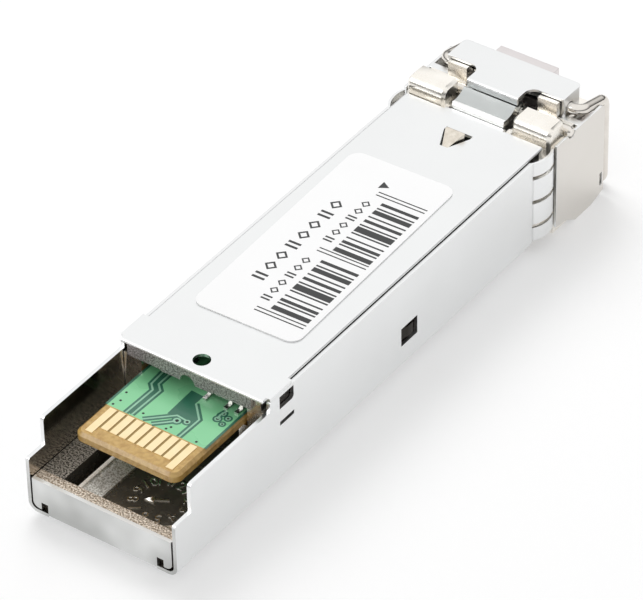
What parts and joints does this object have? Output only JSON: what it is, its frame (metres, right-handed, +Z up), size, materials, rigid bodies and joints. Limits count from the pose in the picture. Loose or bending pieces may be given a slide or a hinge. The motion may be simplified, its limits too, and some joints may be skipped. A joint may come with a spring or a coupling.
{
  "type": "pluggable optical transceiver module",
  "caption": "Pluggable fibre transceiver: folded steel can and cover, card-edge board, twin fibre ports and a wire bail that works the latch.",
  "frame": {"origin": "under the middle of the module's outer box, at its lowest level", "axes": "+Z up with the label side on top, +Y from the card edge to the fibre ports, X across"},
  "size_m": [0.0144, 0.0566, 0.0104],
  "materials": {
    "stamped_steel": "tumbled satin",
    "plated_zinc": "die cast, nickel plated",
    "bright_steel": "drawn wire, bright",
    "machined_steel": "turned",
    "label_paper": "coated, semi matt",
    "moulded_polymer": "moulded",
    "zirconia": "ground and polished",
    "conductive_rubber": "moulded",
    "polyimide": "film",
    "solder_mask": "green solder mask",
    "gold_plate": "hard gold plate",
    "chip_epoxy": "moulded epoxy",
    "chip_ceramic": "fired, tinned ends",
    "thermal_silicone": "soft filled silicone"
  },
  "bodies": {
    "module": {"can": "stamped_steel", "cover": "stamped_steel", "label": "label_paper", "base_casting": "plated_zinc", "nose_shroud": "stamped_steel", "rocker_pin": "bright_steel", "latch_spring": "bright_steel", "fibre_socket": "moulded_polymer", "transmit_optics": "machined_steel", "receive_optics": "machined_steel", "transmit_sleeve": "zirconia", "receive_sleeve": "zirconia", "optics_clamp": "stamped_steel", "barrel_gaskets": "conductive_rubber", "transmit_flex": "polyimide", "receive_flex": "polyimide", "circuit_board": "solder_mask", "contacts_label_side": "gold_plate", "contacts_far_side": "gold_plate", "laser_driver": "chip_epoxy", "receive_amplifier": "chip_epoxy", "controller": "chip_epoxy", "regulator": "chip_epoxy", "chip_parts": "chip_ceramic", "filter_coils": "chip_epoxy", "thermal_pad": "thermal_silicone"},
    "bail": {"bail": "bright_steel"},
    "rocker": {"latch_rocker": "plated_zinc"}
  },
  "joints": [
    {"name": "bail_swing", "type": "hinge", "parent": "module", "child": "bail", "pos_m": [0, 0.02442, 0.0092], "axis": [1, 0, 0], "range_deg": [0, 90]},
    {"name": "rocker_tilt", "type": "hinge", "parent": "module", "child": "rocker", "pos_m": [0, 0.02218, 0.00885], "axis": [1, 0, 0], "range_deg": [0, 5.5], "deforming": ["latch_spring"]}
  ],
  "couplings": [
    {"joint": "rocker_tilt", "follows": "bail_swing", "ratio": 0.061}
  ]
}
